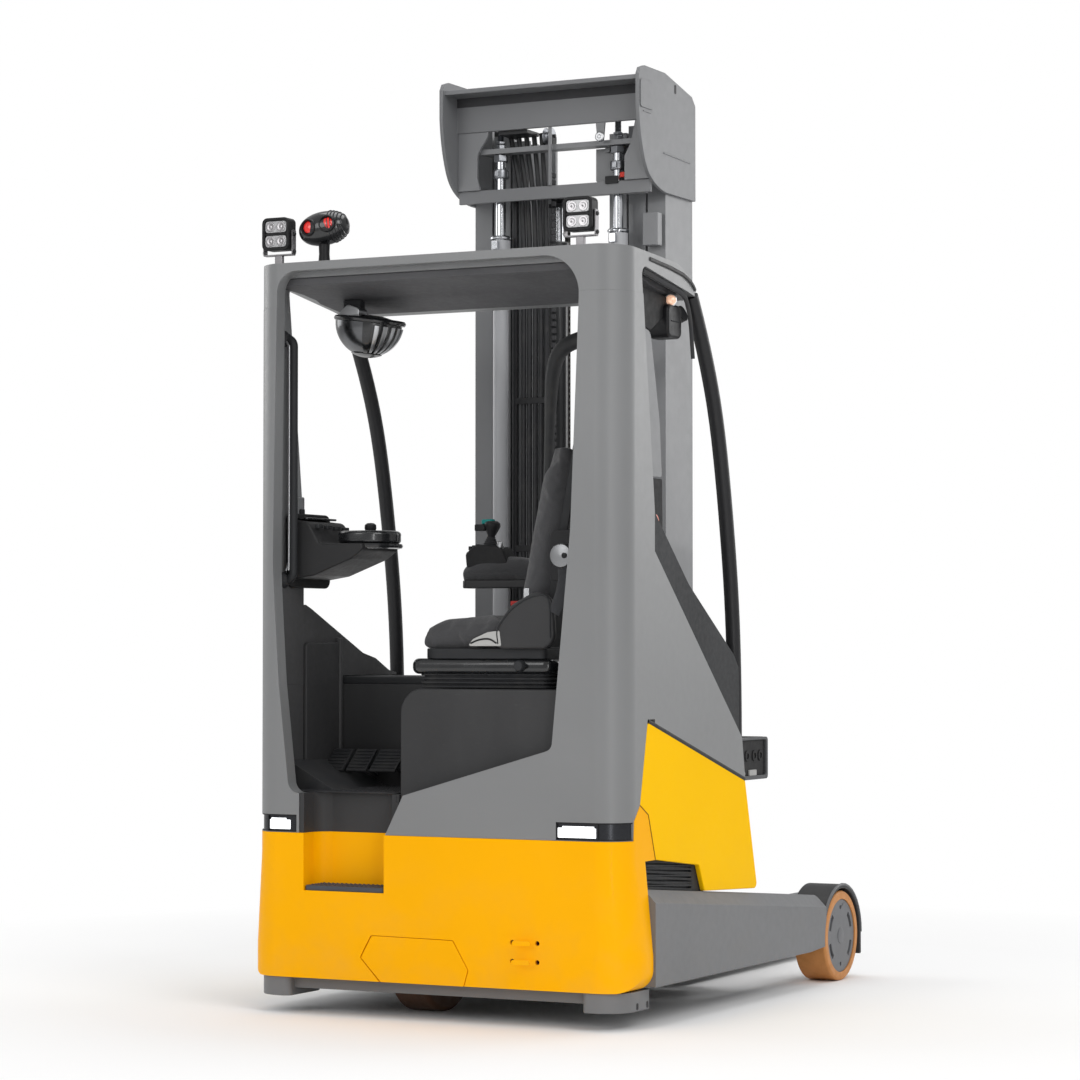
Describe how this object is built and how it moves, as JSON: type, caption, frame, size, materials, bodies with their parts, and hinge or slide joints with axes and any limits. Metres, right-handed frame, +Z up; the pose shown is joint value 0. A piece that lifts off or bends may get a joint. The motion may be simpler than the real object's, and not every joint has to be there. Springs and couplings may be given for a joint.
{
  "type": "reach truck",
  "caption": "Reach truck: wheeled chassis with two forward wheel arms, side-facing seat in an open-backed cab, and a reaching, tilting three-stage mast with forks.",
  "frame": {"origin": "floor level, middle of the footprint: half way between the arms' outer faces and half way from the drive-end face to the fork tips", "axes": "+Y towards the forks, +X to the side behind the operator's back, +Z up"},
  "size_m": [1.27, 2.39, 2.82],
  "materials": {
    "cover_yellow": "satin",
    "shell_grey": "satin",
    "chassis_grey": "satin",
    "guard_grey": "satin",
    "mast_grey": "satin",
    "carriage_black": "satin",
    "dark_plastic": "matte",
    "seat_box_grey": "matte",
    "liner_grey": "matte",
    "seat_fabric": "woven",
    "tread_rubber": "ribbed",
    "load_tyre_tan": "smooth",
    "drive_tyre_brown": "smooth",
    "wheel_grey": "satin",
    "cast_dark": "cast",
    "motor_dark": "plain",
    "battery_case": "matte",
    "bright_rod": "polished",
    "barrel_dark": "satin",
    "lamp_clear": "clear",
    "lamp_black": "gloss"
  },
  "bodies": {
    "chassis": {"base_plate": "chassis_grey", "chassis_box": "carriage_black", "battery": "battery_case", "battery_lid": "dark_plastic", "wheel_arms": "chassis_grey", "reach_channels": "chassis_grey", "wheel_guards": "guard_grey", "load_axles": "cast_dark", "rear_cover": "cover_yellow", "service_flap": "cover_yellow", "step_tread": "tread_rubber", "side_covers": "cover_yellow", "cooling_grilles": "dark_plastic", "rear_wall_right": "shell_grey", "rear_wall_left": "shell_grey", "headlights": "lamp_clear", "foot_well": "seat_box_grey", "seat_box": "seat_box_grey", "side_panels": "shell_grey", "window_panel": "dark_plastic", "roof": "shell_grey", "roof_liner": "liner_grey", "front_posts": "carriage_black", "seat_suspension": "tread_rubber", "seat_pan": "dark_plastic", "seat_cushion": "seat_fabric", "seat_backrest": "seat_fabric", "armrest": "dark_plastic", "joystick_console": "dark_plastic", "steering_console": "dark_plastic", "panoramic_mirror": "liner_grey", "grab_handle": "dark_plastic", "work_lights": "lamp_black", "warning_light": "lamp_black", "monitor": "dark_plastic", "charging_socket": "dark_plastic", "pedals": "tread_rubber", "reach_cylinder": "barrel_dark"},
    "load_wheel_right": {"load_hub_right": "wheel_grey", "load_tyre_right": "load_tyre_tan"},
    "load_wheel_left": {"load_hub_left": "wheel_grey", "load_tyre_left": "load_tyre_tan"},
    "drive_unit": {"drive_gearbox": "cast_dark", "drive_motor": "motor_dark"},
    "drive_wheel": {"drive_hub": "cast_dark", "drive_tyre": "drive_tyre_brown"},
    "steering_wheel": {"steering_wheel": "dark_plastic"},
    "reach_carriage": {"reach_carriage": "carriage_black", "reach_cylinder_rod": "bright_rod"},
    "outer_mast": {"outer_mast": "mast_grey", "mast_head": "mast_grey", "lift_cylinders": "mast_grey"},
    "tilt_barrels": {"tilt_cylinders": "barrel_dark"},
    "tilt_rods": {"tilt_cylinder_rods": "bright_rod"},
    "middle_mast": {"middle_mast": "mast_grey", "lift_cylinder_rods": "bright_rod"},
    "inner_mast": {"inner_mast": "mast_grey"},
    "lift_carriage": {"lift_carriage": "carriage_black"},
    "side_shift": {"side_shift_frame": "carriage_black", "forks": "carriage_black"}
  },
  "joints": [
    {"name": "load_wheel_right_spin", "type": "hinge", "parent": "chassis", "child": "load_wheel_right", "pos_m": [0.572, 0.386, 0.1425], "axis": [1, 0, 0], "continuous": true},
    {"name": "load_wheel_left_spin", "type": "hinge", "parent": "chassis", "child": "load_wheel_left", "pos_m": [-0.572, 0.386, 0.1425], "axis": [1, 0, 0], "continuous": true},
    {"name": "drive_steer", "type": "hinge", "parent": "chassis", "child": "drive_unit", "pos_m": [-0.141, -0.933, 0.38], "axis": [0, 0, 1], "range_deg": [-90, 90]},
    {"name": "drive_wheel_spin", "type": "hinge", "parent": "drive_unit", "child": "drive_wheel", "pos_m": [-0.141, -0.933, 0.1715], "axis": [1, 0, 0], "continuous": true},
    {"name": "steering_wheel_turn", "type": "hinge", "parent": "chassis", "child": "steering_wheel", "pos_m": [-0.338, -0.959, 1.388], "axis": [0, 0, 1], "continuous": true},
    {"name": "reach", "type": "slide", "parent": "chassis", "child": "reach_carriage", "axis": [0, 1, 0], "range_m": [0, 0.55]},
    {"name": "mast_tilt", "type": "hinge", "parent": "reach_carriage", "child": "outer_mast", "pos_m": [0, -0.21, 0.172], "axis": [1, 0, 0], "range_deg": [-1, 3]},
    {"name": "tilt_barrel_swing", "type": "hinge", "parent": "reach_carriage", "child": "tilt_barrels", "pos_m": [0, -0.339, 0.376], "axis": [1, 0, 0], "range_deg": [-1.71, 5.03]},
    {"name": "tilt_rod_slide", "type": "slide", "parent": "tilt_barrels", "child": "tilt_rods", "axis": [0, 0.1825, 0.9832], "range_m": [-0.00879, 0.00306]},
    {"name": "mast_lift", "type": "slide", "parent": "outer_mast", "child": "middle_mast", "axis": [0, 0, 1], "range_m": [0, 1.8]},
    {"name": "inner_lift", "type": "slide", "parent": "middle_mast", "child": "inner_mast", "axis": [0, 0, 1], "range_m": [0, 1.8]},
    {"name": "free_lift", "type": "slide", "parent": "inner_mast", "child": "lift_carriage", "axis": [0, 0, 1], "range_m": [0, 1.95]},
    {"name": "side_shift", "type": "slide", "parent": "lift_carriage", "child": "side_shift", "axis": [1, 0, 0], "range_m": [-0.075, 0.075]}
  ],
  "couplings": [
    {"joint": "tilt_barrel_swing", "follows": "mast_tilt", "ratio": 1.6593},
    {"joint": "tilt_rod_slide", "follows": "mast_tilt", "m_per_rad": -0.16406},
    {"joint": "inner_lift", "follows": "mast_lift", "ratio": 1}
  ]
}
